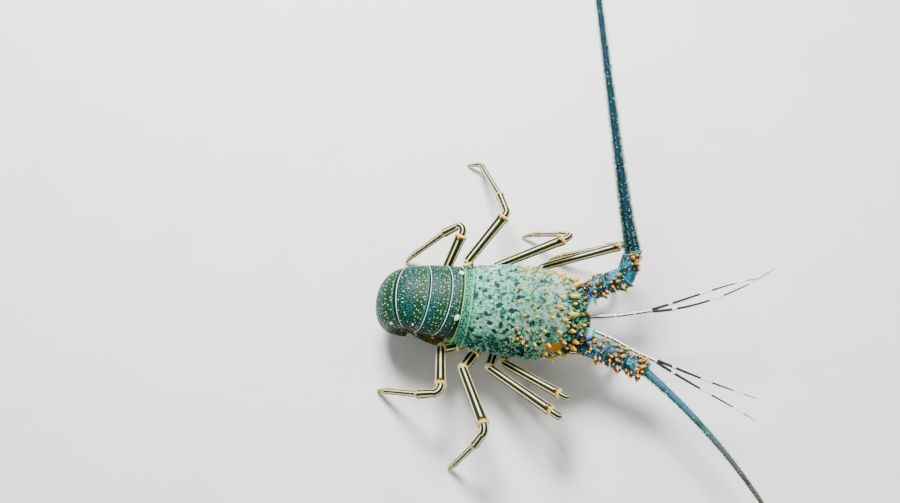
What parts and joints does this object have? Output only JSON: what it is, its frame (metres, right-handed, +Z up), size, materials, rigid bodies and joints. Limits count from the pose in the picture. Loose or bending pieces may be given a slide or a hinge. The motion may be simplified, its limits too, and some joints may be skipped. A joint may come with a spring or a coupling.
{
  "type": "spiny lobster",
  "caption": "Life-size still model of a spiny lobster on its walking legs, with long whip antennae, a spiny carapace and the abdomen curled under.",
  "frame": {"origin": "on the floor, under the middle of the box round the whole animal", "axes": "+X from the tail to the head, +Y to the animal's left, +Z up from the floor"},
  "size_m": [0.3888, 0.6374, 0.1969],
  "materials": {
    "carapace_shell": "limy shell under a short pale nap, with glossy horny spines",
    "abdomen_shell": "smooth semi-gloss shell, dark green with fine white dots",
    "leg_shell": "smooth semi-gloss shell, dark olive with cream stripes",
    "antenna_shell": "semi-gloss blue shell with orange spines",
    "flagellum": "dull ringed shell with short bristles",
    "antennule_shell": "dull dark shell with pale bands",
    "cornea": "wet gloss, dark red brown"
  },
  "bodies": {
    "root": {"carapace": "carapace_shell", "sternum": "leg_shell", "abdomen_1": "abdomen_shell", "abdomen_2": "abdomen_shell", "abdomen_3": "abdomen_shell", "abdomen_4": "abdomen_shell", "abdomen_5": "abdomen_shell", "abdomen_6": "abdomen_shell", "telson": "abdomen_shell", "uropod_left_inner": "abdomen_shell", "uropod_left_outer": "abdomen_shell", "uropod_right_inner": "abdomen_shell", "uropod_right_outer": "abdomen_shell", "leg_left_1_upper": "leg_shell", "leg_left_1_lower": "leg_shell", "leg_left_2_upper": "leg_shell", "leg_left_2_lower": "leg_shell", "leg_left_3_upper": "leg_shell", "leg_left_3_lower": "leg_shell", "leg_left_4_upper": "leg_shell", "leg_left_4_lower": "leg_shell", "leg_left_5_upper": "leg_shell", "leg_left_5_lower": "leg_shell", "leg_right_1_upper": "leg_shell", "leg_right_1_lower": "leg_shell", "leg_right_2_upper": "leg_shell", "leg_right_2_lower": "leg_shell", "leg_right_3_upper": "leg_shell", "leg_right_3_lower": "leg_shell", "leg_right_4_upper": "leg_shell", "leg_right_4_lower": "leg_shell", "leg_right_5_upper": "leg_shell", "leg_right_5_lower": "leg_shell", "maxilliped_left": "leg_shell", "maxilliped_right": "leg_shell", "antennular_plate": "antenna_shell", "antenna_left_1": "antenna_shell", "antenna_left_2": "antenna_shell", "antenna_left_3": "antenna_shell", "antenna_left_base": "flagellum", "antenna_left_whip": "flagellum", "antenna_right_1": "antenna_shell", "antenna_right_2": "antenna_shell", "antenna_right_3": "antenna_shell", "antenna_right_base": "flagellum", "antenna_right_whip": "flagellum", "antennule_left": "antennule_shell", "antennule_left_inner": "antennule_shell", "antennule_left_outer": "antennule_shell", "antennule_right": "antennule_shell", "antennule_right_inner": "antennule_shell", "antennule_right_outer": "antennule_shell", "eye_left": "cornea", "eye_right": "cornea"}
  },
  "joints": []
}
